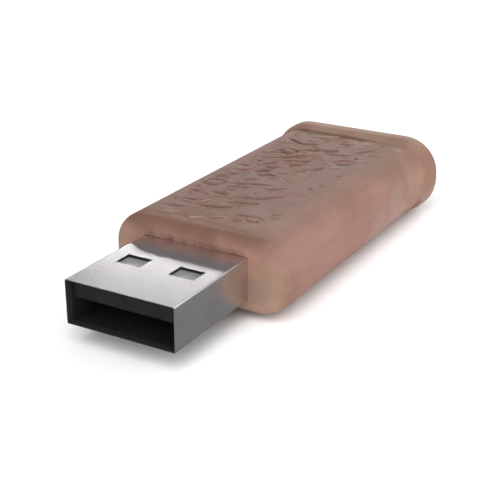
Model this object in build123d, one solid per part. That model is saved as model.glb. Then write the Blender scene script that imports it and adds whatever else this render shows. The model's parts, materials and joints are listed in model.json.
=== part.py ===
"""USB flash drive with a wooden body: a type A plug, a boarded carrier in a milled pocket, a flanged cap.

Millimetres. X runs across the drive, Y from the plug's mouth to the rear, Z up. The origin is at the centre
of the bounding box's bottom, on the surface that the drive lies on. Stations are distances behind the plug's
mouth. Heights are distances above the mid-plane that the plug, the body and the cap share.
"""

import os

from build123d import *

# Type A plug
PLUG_WIDTH = 12.0
PLUG_HEIGHT = 4.5
PLUG_REACH = 12.6  # how far the shell stands out of the body
SHEET = 0.3
SHELL_CORNER = 0.15
SHELL_LENGTH = 17.0
LIP = 0.1  # what the lead-in leaves of the sheet at the mouth
LEAD_IN_LENGTH = 0.5
SEAM_GAP = 0.06
SEAM_STEP = 0.6  # how far the dovetail steps sideways
DOVETAIL_START, DOVETAIL_END = 3.4, 6.4
DOVETAIL_SLANT = 0.3
WINDOW_WIDTH = 2.8
WINDOW_LENGTH = 2.15
WINDOW_STATION = 5.6
WINDOW_OFFSET = 2.98
LEG_LENGTH = 2.2
LEG_LOW, LEG_HIGH = -1.6, 0.4

# Insulator, its backing plate and the contacts
INSULATOR_GAP = 0.02
INSULATOR_CORNER = 0.1
TONGUE_STATION = 0.9
TONGUE_CHAMFER = 0.2
TONGUE_UNDERSIDE = 0.05
BASE_STATION = 9.2
BASE_END = 16.9
PLATE_WIDTH = 10.4
PLATE_THICKNESS = 0.12
PLATE_START, PLATE_END = 4.6, 9.0
CONTACT_WIDTH = 1.0
CONTACT_THICKNESS = 0.3
CONTACT_END = 19.6
LONG_CONTACT_STATION, SHORT_CONTACT_STATION = 1.5, 2.5
CONTACTS = {  # across, station of the front end
    "contact_vbus": (-3.5, LONG_CONTACT_STATION),
    "contact_data_minus": (-1.0, SHORT_CONTACT_STATION),
    "contact_data_plus": (1.0, SHORT_CONTACT_STATION),
    "contact_ground": (3.5, LONG_CONTACT_STATION),
}

# Wooden body and rear cap
BODY_WIDTH = 20.2
BODY_HEIGHT = 7.9
BODY_SIDE_RADIUS = 3.3
BODY_LENGTH = 35.7
FRONT_ROUNDING = 1.65
FRONT_WALL = 3.0
PLUG_HOLE_GAP = 0.02
POCKET_WIDTH = 15.2
POCKET_HEIGHT = 5.9
POCKET_CORNER = 0.8
FLANGE_WIDTH = 21.2
FLANGE_HEIGHT = 9.2
FLANGE_SIDE_RADIUS = 4.25
FLANGE_LENGTH = 3.0
FLANGE_FRONT_ROUNDING = 0.45
FLANGE_REAR_ROUNDING = 0.95
SPIGOT_LENGTH = 4.0
SPIGOT_CHAMFER = 0.4
ADHESIVE = 0.1

# Plastic carrier, in two halves that clamp the board's edges
CARRIER_GAP = 0.1
CARRIER_WALL = 0.6
CARRIER_END_WALL = 1.5
BAY_WIDTH = 12.4
GROOVE_WIDTH = 13.7
PEG_DIAMETER = 0.9
PEG_LENGTH = 1.6
PEG_GAP = 0.02
PEG_OFFSET = 5.0

# Circuit board
BOARD_WIDTH = 13.6
BOARD_THICKNESS = 0.8
BOARD_TOP = -0.05
BOARD_GAP = 0.1
NOTCH_WIDTH = 11.3
NOTCH_LENGTH = 2.2
PAD_THICKNESS = 0.05
PAD_MARGIN = 0.15
TEST_PAD_RADIUS = 0.45
TEST_PAD_STATION = 41.8
TEST_PAD_OFFSETS = [-3.0, -1.0, 1.0, 3.0]
SOLDER_LENGTH = 0.5
LEG_SOLDER_STATION, LEG_SOLDER_LENGTH = 18.4, 1.1

# Chips, as (width, length, thickness)
MEMORY_SIZE = (12.0, 18.4, 1.0)
MEMORY_STATION = 31.0
MEMORY_LEADS_A_SIDE = 24
MEMORY_LEAD_REACH = 0.8
CONTROLLER_SIZE = (7.0, 7.0, 1.0)
CONTROLLER_STATION = 26.6
CONTROLLER_LEADS_A_SIDE = 12
CONTROLLER_LEAD_REACH = 1.0
CHIP_STANDOFF = 0.1
CHIP_CHAMFER = 0.12
MARK_RADIUS = 0.4
MARK_DEPTH = 0.1
MARK_INSET = 1.0

# Chip leads: the bends' places are shares of the lead's reach
LEAD_PITCH = 0.5
LEAD_WIDTH = 0.2
LEAD_THICKNESS = 0.13
LEAD_SHOULDER = 0.35
LEAD_FOOT = 0.55
LEAD_BEND = 0.12

# Small components under the board, placed as (across, station)
CAPACITOR_SIZE = (1.1, 0.8, 0.8)
CAPACITOR_OFFSET = 5.35
CAPACITOR_STATIONS = [24.0, 26.6, 29.2]
CAPACITOR_PLACES = [(side * CAPACITOR_OFFSET, station) for side in (-1, 1) for station in CAPACITOR_STATIONS]
RESISTOR_SIZE = (1.1, 0.8, 0.45)
RESISTOR_PLACES = [(-4.6, 21.0), (-2.3, 21.0), (2.3, 21.0), (4.6, 21.0), (4.6, 39.4), (0.0, 39.4)]
TERMINAL_LENGTH = 0.25
FERRITE_SIZE = (1.25, 2.0, 0.9)
FERRITE_PLACE = (0.0, 20.4)
CRYSTAL_PLACE = (-3.4, 36.4)
CRYSTAL_SIZE = (3.2, 5.0, 0.5)
CRYSTAL_LID_SIZE = (2.7, 4.5, 0.4)
REGULATOR_PLACE = (3.4, 35.0)
REGULATOR_SIZE = (2.9, 1.3, 0.9)
REGULATOR_LEADS = [(-0.95, 0), (0.95, 0), (0.0, 180)]  # offset across, turn about Z
REGULATOR_LEAD_REACH = 0.6
REGULATOR_LEAD_WIDTH = 0.4
LED_PLACE = (-4.6, 40.4)
LED_SIZE = (0.8, 1.6, 0.3)
LENS_SIZE = (0.7, 1.0, 0.35)
FOAM_WIDTH, FOAM_LENGTH = 8.0, 12.0

# What follows from those
FLANGE_STATION = PLUG_REACH + BODY_LENGTH
TOTAL_LENGTH = FLANGE_STATION + FLANGE_LENGTH
MOUTH_Y = -TOTAL_LENGTH / 2
AXIS_Z = FLANGE_HEIGHT / 2
POCKET_STATION = PLUG_REACH + FRONT_WALL
SPIGOT_STATION = FLANGE_STATION - SPIGOT_LENGTH
BORE_WIDTH = PLUG_WIDTH - 2 * SHEET
BORE_HEIGHT = PLUG_HEIGHT - 2 * SHEET
CARRIER_WIDTH = POCKET_WIDTH - 2 * CARRIER_GAP
CARRIER_HEIGHT = POCKET_HEIGHT - 2 * CARRIER_GAP
BAY_STATION = POCKET_STATION + CARRIER_END_WALL
BAY_END = SPIGOT_STATION - CARRIER_END_WALL
BAY_HEIGHT = CARRIER_HEIGHT - 2 * CARRIER_WALL
BOARD_STATION = BAY_STATION + BOARD_GAP
BOARD_END = BAY_END - BOARD_GAP
BOARD_BOTTOM = BOARD_TOP - BOARD_THICKNESS
BOARD_MIDDLE = BOARD_TOP - BOARD_THICKNESS / 2

STANDING = (Align.CENTER, Align.CENTER, Align.MIN)
HANGING = (Align.CENTER, Align.CENTER, Align.MAX)


def spot(across, station, height):
    """The location at those distances from the drive's axis, the plug's mouth and the mid-plane."""
    return Pos(across, MOUTH_Y + station, AXIS_Z + height)


def section(width, height, corner, station, across=0.0, middle=0.0):
    """A rectangle across the drive, rounded if it has a corner radius."""
    plane = Plane(spot(across, station, middle).position, x_dir=(1, 0, 0), z_dir=(0, -1, 0))
    return plane * (RectangleRounded(width, height, corner) if corner else Rectangle(width, height))


def bar(width, height, corner, start, end, across=0.0, middle=0.0):
    """A bar along the drive between two stations, with that section."""
    return extrude(section(width, height, corner, start, across, middle), amount=start - end)


def slab(width, length, low, high, across, station):
    """A box between two heights, centred on that place."""
    return spot(across, station, low) * Box(width, length, high - low, align=STANDING)


def front_edges(solid):
    """The edges of a bar's front face."""
    return solid.faces().sort_by(Axis.Y)[0].edges()


def rear_edges(solid):
    """The edges of a bar's rear face."""
    return solid.faces().sort_by(Axis.Y)[-1].edges()


def group(shapes):
    """Separate solids kept together in one node."""
    return Compound(children=[solid for shape in shapes for solid in shape.solids()])


def wood_body():
    """The block: rounded sides, a plug hole through its front wall and a pocket open at the rear."""
    body = bar(BODY_WIDTH, BODY_HEIGHT, BODY_SIDE_RADIUS, PLUG_REACH, FLANGE_STATION)
    body = fillet(front_edges(body), FRONT_ROUNDING)
    hole_width, hole_height = PLUG_WIDTH + 2 * PLUG_HOLE_GAP, PLUG_HEIGHT + 2 * PLUG_HOLE_GAP
    body -= bar(hole_width, hole_height, SHELL_CORNER, PLUG_REACH, POCKET_STATION)
    return body - bar(POCKET_WIDTH, POCKET_HEIGHT, POCKET_CORNER, POCKET_STATION, FLANGE_STATION)


def spigot_bar(start):
    """A bar that fills the pocket but for the glue, from a station to the flange."""
    width, height = POCKET_WIDTH - 2 * ADHESIVE, POCKET_HEIGHT - 2 * ADHESIVE
    return bar(width, height, POCKET_CORNER - ADHESIVE, start, FLANGE_STATION)


def rear_cap():
    """The flange that closes the rear, with the spigot that is glued into the pocket."""
    flange = bar(FLANGE_WIDTH, FLANGE_HEIGHT, FLANGE_SIDE_RADIUS, FLANGE_STATION, TOTAL_LENGTH)
    flange = fillet(front_edges(flange), FLANGE_FRONT_ROUNDING)
    flange = fillet(rear_edges(flange), FLANGE_REAR_ROUNDING)
    spigot = spigot_bar(SPIGOT_STATION)
    return flange + chamfer(front_edges(spigot), SPIGOT_CHAMFER)


def cap_adhesive():
    """The glue film round the spigot."""
    start = SPIGOT_STATION + SPIGOT_CHAMFER
    film = bar(POCKET_WIDTH, POCKET_HEIGHT, POCKET_CORNER, start, FLANGE_STATION)
    return film - spigot_bar(start)


def seam():
    """The gap where the shell's sheet meets under the plug, with one dovetail step."""
    step_start, step_end = DOVETAIL_START + DOVETAIL_SLANT, DOVETAIL_END - DOVETAIL_SLANT
    turns = [
        (0, 0),
        (0, DOVETAIL_START),
        (SEAM_STEP, step_start),
        (SEAM_STEP, step_end),
        (0, DOVETAIL_END),
        (0, SHELL_LENGTH),
    ]
    line = Polyline([(across, MOUTH_Y + station) for across, station in turns])
    wall_middle = AXIS_Z - (PLUG_HEIGHT + BORE_HEIGHT) / 4
    return extrude(Plane.XY.offset(wall_middle) * trace(line, SEAM_GAP), amount=SHEET, both=True)


def plug_shell():
    """The folded steel shell: a thinned lip, four windows, the seam and two legs that grip the board."""
    shell = bar(PLUG_WIDTH, PLUG_HEIGHT, SHELL_CORNER, 0, SHELL_LENGTH)
    shell -= bar(BORE_WIDTH, BORE_HEIGHT, 0, 0, SHELL_LENGTH)
    mouth = section(PLUG_WIDTH - 2 * LIP, PLUG_HEIGHT - 2 * LIP, 0, 0)
    shell -= loft([mouth, section(BORE_WIDTH, BORE_HEIGHT, 0, LEAD_IN_LENGTH)])
    shell -= seam()
    window_middle = WINDOW_STATION + WINDOW_LENGTH / 2
    for side in (-1, 1):
        across = side * WINDOW_OFFSET
        shell -= slab(WINDOW_WIDTH, WINDOW_LENGTH, -PLUG_HEIGHT, PLUG_HEIGHT, across, window_middle)
        across = side * (PLUG_WIDTH - SHEET) / 2
        shell += slab(SHEET, LEG_LENGTH, LEG_LOW, LEG_HIGH, across, SHELL_LENGTH + LEG_LENGTH / 2)
    return shell


def contact(across, start):
    """One flat brass strip, from under the tongue to its pad on the board."""
    return bar(CONTACT_WIDTH, CONTACT_THICKNESS, 0, start, CONTACT_END, across, CONTACT_THICKNESS / 2)


def shield_plate():
    """The thin steel plate let into the tongue's top, which shows through the windows."""
    top = BORE_HEIGHT / 2 - INSULATOR_GAP
    return bar(PLATE_WIDTH, PLATE_THICKNESS, 0, PLATE_START, PLATE_END, middle=top - PLATE_THICKNESS / 2)


def plug_insulator():
    """The moulded insulator: a tongue under the shell's top wall, and a base that fills the shell."""
    width, height = BORE_WIDTH - 2 * INSULATOR_GAP, BORE_HEIGHT - 2 * INSULATOR_GAP
    insulator = bar(width, height, INSULATOR_CORNER, TONGUE_STATION, BASE_END)
    insulator -= bar(PLUG_WIDTH, PLUG_HEIGHT, 0, 0, BASE_STATION, middle=TONGUE_UNDERSIDE - PLUG_HEIGHT / 2)
    tip = insulator.edges().filter_by(Axis.X).group_by(Axis.Y)[0].sort_by(Axis.Z)[0]
    insulator = chamfer(tip, TONGUE_CHAMFER) - shield_plate()
    for across, start in CONTACTS.values():
        insulator -= contact(across, start)
    return insulator


def circuit_board():
    """The laminate, narrower at the front so that the shell's legs pass beside it."""
    neck_end = BOARD_STATION + NOTCH_LENGTH
    neck = bar(NOTCH_WIDTH, BOARD_THICKNESS, 0, BOARD_STATION, neck_end, middle=BOARD_MIDDLE)
    return neck + bar(BOARD_WIDTH, BOARD_THICKNESS, 0, neck_end, BOARD_END, middle=BOARD_MIDDLE)


def board_pads():
    """The gold-plated pads: one under each contact's tail, and round test pads at the rear."""
    start, end = BOARD_STATION + PAD_MARGIN, CONTACT_END + SOLDER_LENGTH + PAD_MARGIN
    width, middle = CONTACT_WIDTH + 2 * PAD_MARGIN, BOARD_TOP + PAD_THICKNESS / 2
    pads = [bar(width, PAD_THICKNESS, 0, start, end, across, middle) for across, _ in CONTACTS.values()]
    disc = Cylinder(TEST_PAD_RADIUS, PAD_THICKNESS)
    return group(pads + [spot(across, TEST_PAD_STATION, middle) * disc for across in TEST_PAD_OFFSETS])


def solder_joints():
    """A wedge of solder behind each contact's tail, and a bead between each leg and the board."""
    corners = [(0, 0), (SOLDER_LENGTH, 0), (0, CONTACT_THICKNESS), (0, 0)]
    wedge = extrude(Plane.YZ * make_face(Polyline(corners)), amount=CONTACT_WIDTH / 2, both=True)
    joints = [spot(across, CONTACT_END, 0) * wedge for across, _ in CONTACTS.values()]
    leg_inside, neck_side = PLUG_WIDTH / 2 - SHEET, NOTCH_WIDTH / 2
    for side in (-1, 1):
        across = side * (leg_inside + neck_side) / 2
        width = leg_inside - neck_side
        joints.append(slab(width, LEG_SOLDER_LENGTH, BOARD_BOTTOM, BOARD_TOP, across, LEG_SOLDER_STATION))
    return group(joints)


def above(across, station):
    """A component's place on the board's top."""
    return spot(across, station, BOARD_TOP)


def below(across, station):
    """A component's place on the board's underside, turned over."""
    return spot(across, station, BOARD_BOTTOM) * Rot(0, 180, 0)


def package(size, standoff=0.0):
    """A component's plain block, standing that far off the board."""
    return Pos(0, 0, standoff) * Box(*size, align=STANDING)


def chip(size):
    """A moulded chip body with bevelled edges and a round mark in one corner."""
    body = chamfer(package(size, CHIP_STANDOFF).edges(), CHIP_CHAMFER)
    corner = Pos(MARK_INSET - size[0] / 2, MARK_INSET - size[1] / 2, CHIP_STANDOFF + size[2])
    return body - corner * Cylinder(MARK_RADIUS, MARK_DEPTH, align=HANGING)


def gull_lead(reach, chip_thickness, width=LEAD_WIDTH):
    """One bent lead along +Y, from the middle of a chip's edge down to the board."""
    top = CHIP_STANDOFF + (chip_thickness + LEAD_THICKNESS) / 2
    bottom = top - LEAD_THICKNESS
    shoulder, foot, bend = LEAD_SHOULDER * reach, LEAD_FOOT * reach, LEAD_BEND * reach
    upper = [(0, top), (shoulder, top), (foot, LEAD_THICKNESS), (reach, LEAD_THICKNESS)]
    lower = [(reach, 0), (foot - bend, 0), (shoulder - bend, bottom), (0, bottom)]
    outline = make_face(Polyline(upper + lower + upper[:1]))
    return extrude(Plane.YZ * outline, amount=width / 2, both=True)


def lead_rows(place, size, turns, count, reach):
    """Rows of leads along some of a chip's sides, which are turns from its far side."""
    lead = gull_lead(reach, size[2])
    offsets = [(i - (count - 1) / 2) * LEAD_PITCH for i in range(count)]
    row = [Pos(offset, size[1] / 2, 0) * lead for offset in offsets]
    return group([place * Rot(0, 0, turn) * one for turn in turns for one in row])


def flash_memory_leads():
    """The memory's leads, on its two short sides."""
    place, turns = above(0, MEMORY_STATION), (0, 180)
    return lead_rows(place, MEMORY_SIZE, turns, MEMORY_LEADS_A_SIDE, MEMORY_LEAD_REACH)


def controller_leads():
    """The controller's leads, on all four sides."""
    place, turns = below(0, CONTROLLER_STATION), (0, 90, 180, 270)
    return lead_rows(place, CONTROLLER_SIZE, turns, CONTROLLER_LEADS_A_SIDE, CONTROLLER_LEAD_REACH)


def regulator_leads():
    """The regulator's leads: two on one side and one on the other."""
    place, edge = below(*REGULATOR_PLACE), REGULATOR_SIZE[1] / 2
    lead = gull_lead(REGULATOR_LEAD_REACH, REGULATOR_SIZE[2], REGULATOR_LEAD_WIDTH)
    return group([place * Rot(0, 0, turn) * Pos(offset, edge, 0) * lead for offset, turn in REGULATOR_LEADS])


def small_parts(places, size):
    """A group of equal components under the board."""
    return group([below(*place) * package(size) for place in places])


def chip_terminals():
    """The tinned ends of every capacitor and resistor."""
    ends = []
    for places, size in ((CAPACITOR_PLACES, CAPACITOR_SIZE), (RESISTOR_PLACES, RESISTOR_SIZE)):
        terminal = package((TERMINAL_LENGTH, size[1], size[2]))
        offset = (size[0] + TERMINAL_LENGTH) / 2
        ends += [below(*place) * Pos(side * offset, 0, 0) * terminal for place in places for side in (-1, 1)]
    return group(ends)


def carrier():
    """Both halves of the carrier as one: a box with a bay, the board's groove and the plug's way in."""
    box = bar(CARRIER_WIDTH, CARRIER_HEIGHT, POCKET_CORNER, POCKET_STATION, SPIGOT_STATION)
    box -= bar(BAY_WIDTH, BAY_HEIGHT, 0, BAY_STATION, BAY_END)
    box -= bar(GROOVE_WIDTH, BOARD_THICKNESS, 0, BAY_STATION, BAY_END, middle=BOARD_MIDDLE)
    return box - bar(PLUG_WIDTH, PLUG_HEIGHT, SHELL_CORNER, POCKET_STATION, BAY_STATION)


def carrier_pegs(diameter):
    """Two pegs that stand down from the lid into the tray's rear wall."""
    peg = Cylinder(diameter / 2, PEG_LENGTH, align=HANGING)
    station = (BAY_END + SPIGOT_STATION) / 2
    return [spot(side * PEG_OFFSET, station, BOARD_TOP) * peg for side in (-1, 1)]


def carrier_slice(low, high):
    """What lies between two heights of the carrier."""
    station = (POCKET_STATION + SPIGOT_STATION) / 2
    return carrier() & slab(POCKET_WIDTH, TOTAL_LENGTH, low, high, 0, station)


def carrier_lid():
    """The carrier's upper half, with its pegs."""
    return carrier_slice(BOARD_TOP, POCKET_HEIGHT) + carrier_pegs(PEG_DIAMETER)


def carrier_tray():
    """The carrier's lower half, with holes for the pegs."""
    return carrier_slice(-POCKET_HEIGHT, BOARD_TOP) - carrier_pegs(PEG_DIAMETER + 2 * PEG_GAP)


def foam_pad():
    """The pad between the memory and the carrier's lid."""
    memory_top = BOARD_TOP + CHIP_STANDOFF + MEMORY_SIZE[2]
    return slab(FOAM_WIDTH, FOAM_LENGTH, memory_top, BAY_HEIGHT / 2, 0, MEMORY_STATION)


def sub_parts():
    """Every sub-part's shape by its name."""
    shapes = {
        "wood_body": wood_body(),
        "rear_cap": rear_cap(),
        "cap_adhesive": cap_adhesive(),
        "plug_shell": plug_shell(),
        "plug_insulator": plug_insulator(),
        "shield_plate": shield_plate(),
        "carrier_tray": carrier_tray(),
        "carrier_lid": carrier_lid(),
        "circuit_board": circuit_board(),
        "board_pads": board_pads(),
        "solder_joints": solder_joints(),
        "flash_memory": above(0, MEMORY_STATION) * chip(MEMORY_SIZE),
        "flash_memory_leads": flash_memory_leads(),
        "controller": below(0, CONTROLLER_STATION) * chip(CONTROLLER_SIZE),
        "controller_leads": controller_leads(),
        "regulator": below(*REGULATOR_PLACE) * package(REGULATOR_SIZE, CHIP_STANDOFF),
        "regulator_leads": regulator_leads(),
        "crystal_base": below(*CRYSTAL_PLACE) * package(CRYSTAL_SIZE),
        "crystal_lid": below(*CRYSTAL_PLACE) * package(CRYSTAL_LID_SIZE, CRYSTAL_SIZE[2]),
        "ferrite_bead": below(*FERRITE_PLACE) * package(FERRITE_SIZE),
        "capacitors": small_parts(CAPACITOR_PLACES, CAPACITOR_SIZE),
        "resistors": small_parts(RESISTOR_PLACES, RESISTOR_SIZE),
        "chip_terminals": chip_terminals(),
        "activity_led": below(*LED_PLACE) * package(LED_SIZE),
        "led_lens": below(*LED_PLACE) * package(LENS_SIZE, LED_SIZE[2]),
        "foam_pad": foam_pad(),
    }
    return shapes | {name: contact(*place) for name, place in CONTACTS.items()}


os.makedirs("parts", exist_ok=True)
for name, shape in sub_parts().items():
    export_step(shape, f"parts/{name}.step")
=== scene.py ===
"""Looks of the wooden USB flash drive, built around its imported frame.

The two wooden pieces are lofted in mesh code, with the carved top as real relief. The plug and everything
inside keep their CAD shape, some with edges softened by modifiers. Every piece has a procedural material.
Lengths are in millimetres in the row frame, which has +Y to the rear and +Z up. MM makes metres of them.
"""

import json
import random
from math import cos, pi, radians, sin

import bpy
import numpy as np
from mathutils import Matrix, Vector, noise


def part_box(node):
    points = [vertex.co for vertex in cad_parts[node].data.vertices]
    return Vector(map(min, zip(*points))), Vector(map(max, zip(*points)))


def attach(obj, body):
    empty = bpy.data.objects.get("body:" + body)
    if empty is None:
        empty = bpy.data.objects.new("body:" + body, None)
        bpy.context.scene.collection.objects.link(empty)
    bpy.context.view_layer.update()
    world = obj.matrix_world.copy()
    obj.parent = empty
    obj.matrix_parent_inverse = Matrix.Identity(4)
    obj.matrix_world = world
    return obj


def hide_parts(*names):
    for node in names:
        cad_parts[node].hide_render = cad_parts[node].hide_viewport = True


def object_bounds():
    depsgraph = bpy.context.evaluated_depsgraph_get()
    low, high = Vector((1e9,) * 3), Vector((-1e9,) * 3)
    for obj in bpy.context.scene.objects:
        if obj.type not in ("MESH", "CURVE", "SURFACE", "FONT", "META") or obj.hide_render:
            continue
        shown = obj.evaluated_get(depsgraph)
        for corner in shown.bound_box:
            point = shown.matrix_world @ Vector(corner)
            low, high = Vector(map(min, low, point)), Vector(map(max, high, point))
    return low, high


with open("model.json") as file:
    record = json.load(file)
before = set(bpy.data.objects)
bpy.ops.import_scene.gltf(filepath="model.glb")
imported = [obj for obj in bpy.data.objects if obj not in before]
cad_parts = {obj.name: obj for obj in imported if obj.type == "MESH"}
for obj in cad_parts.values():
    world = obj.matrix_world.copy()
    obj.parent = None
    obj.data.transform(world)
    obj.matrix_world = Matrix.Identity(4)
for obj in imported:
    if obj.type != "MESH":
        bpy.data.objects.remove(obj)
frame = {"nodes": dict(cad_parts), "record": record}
cad_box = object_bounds()

MM = 0.001


def corners_of(node):
    """A CAD node's lowest and highest corners in millimetres."""
    return [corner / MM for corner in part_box(node)]


BODY_LOW, BODY_HIGH = corners_of("wood_body")
CAP_LOW, CAP_HIGH = corners_of("rear_cap")
SHELL_LOW, SHELL_HIGH = corners_of("plug_shell")
AXIS_Z = (BODY_LOW.z + BODY_HIGH.z) / 2

# Steps round an outline: along its top, round each corner, down each side, along its bottom
BODY_STEPS = (136, 14, 4, 30)
CAP_STEPS = (60, 20, 2, 60)

# The wooden body
SIDE_RADIUS = 3.3
FRONT_FILLET, FRONT_FILLET_STEPS = 1.65, 14
REAR_BEVEL = 0.02
HOLE_CLEARANCE = 0.004
HOLE_RADIUS = 0.15
HOLE_DEPTH = 3.0
POCKET_HALF_WIDTH, POCKET_HALF_HEIGHT, POCKET_RADIUS = 7.6, 2.95, 0.8
POCKET_STEPS = 6
BODY_SMOOTH_ANGLE, CAP_SMOOTH_ANGLE = 60, 40

# The worn edge of the wood over the plug's top
WEAR_DEPTH, WEAR_SIZE = 0.36, 1.3
WEAR_START, WEAR_END = 0.1, 0.6
WEAR_HALF_WIDTH, WEAR_SIDE_FADE = 5.0, 1.0
WEAR_MEAN = 0.5
WEAR_FACING = 0.9

# The rear cap
FLANGE_LENGTH = 3.0
FLANGE_RADIUS = 4.25
FLANGE_RISE, FLANGE_RISE_RINGS = 1.1, 9
FLANGE_REAR_FILLET, FLANGE_FILLET_STEPS = 0.95, 10
FOOT_STEP = 0.36
SOFT_FOOT_X = (-1, 6)
SOFT_FOOT_Z = (-3.3, -2.0)
SPIGOT_HALF_WIDTH, SPIGOT_HALF_HEIGHT, SPIGOT_RADIUS = 7.5, 2.85, 0.7
SPIGOT_CHAMFER = 0.4

# The carved relief on the body's top
RELIEF_DEEPEST, RELIEF_HIGHEST = 0.24, 0.2
FIGURED_RISE = 0.07
GRAIN_TURN = 28
RELIEF_STEP = 0.1
SWELL_HEIGHT, SWELL_SIZE = 0.03, 4.0
RIPPLE_HEIGHT, RIPPLE_SIZE = 0.022, 0.8
FURROW_DEPTH, FURROW_SIZE = 0.035, 1.6
GRAIN_STRETCH = 0.5
FOOT_GROOVE_DEPTH, FOOT_GROOVE_START, FOOT_GROOVE_END = 0.12, 0.5, 0.1
FOOT_GROOVE_X = (0, 5)
FIGURED_LEFT, FIGURED_RIGHT = (-7.6, -6.5), (4.2, 7.2)
FIGURED_RAGGED, FIGURED_RAGGED_SIZE = 0.5, 2.2
FIGURED_RAGGED_RIGHT = 1.6
BORDER_RAGGED, BORDER_RAGGED_SIZE, BORDER_WIDTH = 0.25, 1.6, 0.15
# How nearly a normal points up where the relief starts, and where it is full
RELIEF_STARTS_AT, RELIEF_FULL_AT = 0.5, 0.97

# A stroke's lip, in its groove's width and depth
LIP_OFFSET, LIP_SHARE = 1.2, 0.3
# A curl's groove and knob, in its radius, and the knob's height, in the groove's depth
CURL_GROOVE, CURL_KNOB, KNOB_SHARE = 0.32, 0.45, 0.5

# The patches of tone and of painted light and shade: how ragged their borders are, and where they fade, in
# shares of their radius
PATCH_RAGGED, PATCH_RAGGED_SIZE = 0.45, 2.6
PATCH_FULL, PATCH_GONE = 0.35, 1.3

# Which slice of the noise each field is cut from, so that no two look alike
SLICE = {
    "swell": 3.7,
    "ripple": 9.1,
    "furrow": 21.3,
    "wear": 33.1,
    "figured": 40.2,
    "patches": 55.3,
    "border": 61.4,
}
PATCH_SLICE_STEP = 8


# Meshes -----------------------------------------------------------------------------------------------------

def rounded_outline(half_width, half_height, radius, counts):
    """Points (x, z) and outward normals round a rounded rectangle, clockwise from the top's left end.

    counts is how many steps the top, each corner, each side and the bottom have.
    """
    top, corner, side, bottom = counts
    straight_x, straight_z = half_width - radius, half_height - radius
    centres = np.array([(1, 1), (1, -1), (-1, -1), (-1, 1)]) * (straight_x, straight_z)
    middles, angles = [], []
    for quarter, steps in enumerate((top, side, bottom, side)):
        facing = quarter * pi / 2
        start, end = centres[quarter - 1], centres[quarter]
        for i in range(steps):
            middles.append(start + (end - start) * i / steps)
            angles.append(facing)
        for i in range(corner):
            middles.append(end)
            angles.append(facing + pi / 2 * i / corner)
    normals = np.column_stack((np.sin(angles), np.cos(angles)))
    return np.array(middles) + radius * normals, normals


def ring_at(y, outline):
    """An outline's points as 3-D points about the drive's axis, at that y."""
    points, _ = outline
    return np.column_stack((points[:, 0], np.full(len(points), y), AXIS_Z + points[:, 1]))


def ring_faces(ring_count, size, closed):
    """Four-sided faces between neighbouring rings, and from the last ring to the first if closed."""
    here = np.arange(size)
    beside = np.roll(here, -1)
    faces = []
    for ring in range(ring_count if closed else ring_count - 1):
        front, back = ring * size, (ring + 1) % ring_count * size
        faces.append(np.column_stack((front + here, front + beside, back + beside, back + here)))
    return np.concatenate(faces).tolist()


def make_piece(name, points, faces, smooth_angle):
    """A mesh object from points in millimetres, smooth but for edges sharper than that many degrees."""
    mesh = bpy.data.meshes.new(name)
    mesh.from_pydata((points * MM).tolist(), [], faces)
    mesh.shade_smooth()
    mesh.set_sharp_from_angle(angle=radians(smooth_angle))
    mesh.update()
    piece = bpy.data.objects.new(name, mesh)
    bpy.context.scene.collection.objects.link(piece)
    return piece


def point_values(piece, name, values):
    """Stores one number for each of a piece's points, for its material to read."""
    attribute = piece.data.attributes.new(name, "FLOAT", "POINT")
    attribute.data.foreach_set("value", values.astype(np.float32))


def fade(value, start, end):
    """0 before start and 1 after end, with a smooth change between them."""
    t = np.clip((value - start) / (end - start), 0, 1)
    return t * t * (3 - 2 * t)


# The carved relief ------------------------------------------------------------------------------------------

def fractal_field(x, y, size, field_slice):
    """Smooth fractal noise over the plan, from about -1 to 1, with features about that size."""
    points = zip(x / size, y / size)
    return np.array([noise.fractal((u, v, field_slice), 1.0, 2.0, 3) for u, v in points])


def turned(x, y, centre, degrees):
    """Plan coordinates along and across a direction, from a centre."""
    angle = radians(degrees)
    dx, dy = x - centre[0], y - centre[1]
    return dx * cos(angle) + dy * sin(angle), dy * cos(angle) - dx * sin(angle)


def gouge(x, y, stroke):
    """A carver's stroke: a narrow groove with a low lip of pushed-up wood beside it, or the reverse."""
    cx, cy, length, width, depth, turn, bend = stroke
    along, across = turned(x, y, (cx, cy), turn)
    across = (across - bend * along**2) / width
    reach = np.exp(-(2 * along / length) ** 4)
    groove = np.exp(-(2 * across) ** 2)
    lip = np.exp(-(2 * (across + LIP_OFFSET)) ** 2)
    return depth * reach * (LIP_SHARE * lip - groove)


def eyelet(x, y, curl):
    """A closed curl: a round groove about a small knob."""
    cx, cy, radius, stretch, depth, turn = curl
    along, across = turned(x, y, (cx, cy), turn)
    distance = np.hypot(along / stretch, across)
    groove = np.exp(-((distance - radius) / (CURL_GROOVE * radius)) ** 2)
    knob = np.exp(-(distance / (CURL_KNOB * radius)) ** 2)
    return depth * (KNOB_SHARE * knob - groove)


def pinhole(x, y, centre):
    """A small round pit."""
    distance = np.hypot(x - centre[0], y - centre[1])
    return -PINHOLE_DEPTH * np.exp(-(distance / PINHOLE_RADIUS) ** 4)


# Where the figured area starts on the top: x, distance behind the body's front
FIGURED_BORDER = [
    (-7.6, 1.5),
    (-6.2, 2.4),
    (-4.3, 2.1),
    (-3.8, 3.1),
    (-2.4, 2.6),
    (0.0, 2.5),
    (3.6, 2.1),
    (8.0, 1.7),
]
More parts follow.
